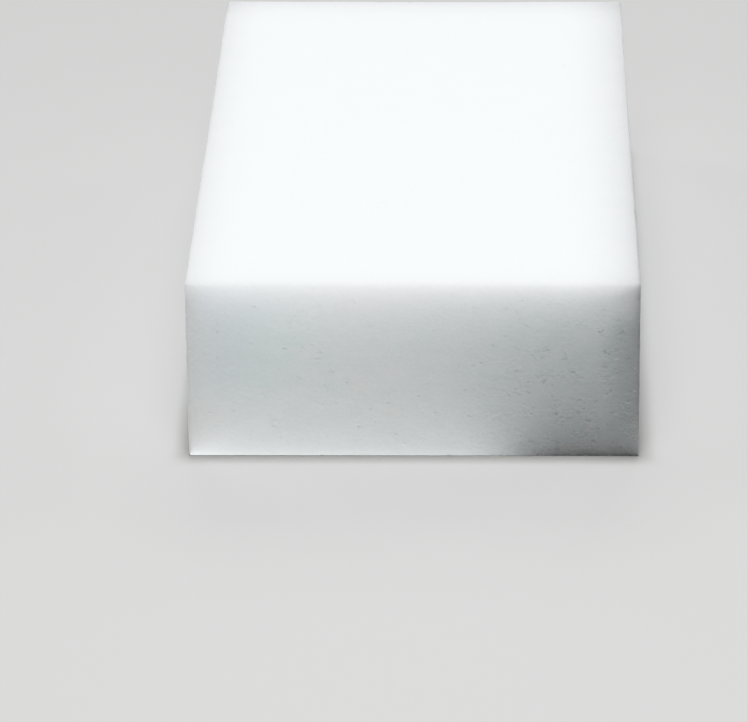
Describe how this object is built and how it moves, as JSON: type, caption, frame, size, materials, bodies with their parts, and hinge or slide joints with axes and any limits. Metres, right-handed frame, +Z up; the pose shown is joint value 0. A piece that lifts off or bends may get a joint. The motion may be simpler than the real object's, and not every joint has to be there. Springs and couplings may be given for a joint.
{
  "type": "cleaning sponge",
  "caption": "Plain rectangular cleaning sponge: a bare white block of fine-celled melamine foam, sawn flat on every face, with crisp, slightly rubbed edges.",
  "frame": {"origin": "middle of the face that the block lies on", "axes": "+Y along the length, from the narrow front face to the back face; +X across the width; +Z up through the thickness"},
  "size_m": [0.06, 0.11, 0.025],
  "materials": {
    "melamine_foam": "bare open-celled melamine foam, very fine matt grain, translucent near its edges, with small torn pits in the sawn sides"
  },
  "bodies": {
    "root": {"foam_block": "melamine_foam"}
  },
  "joints": []
}
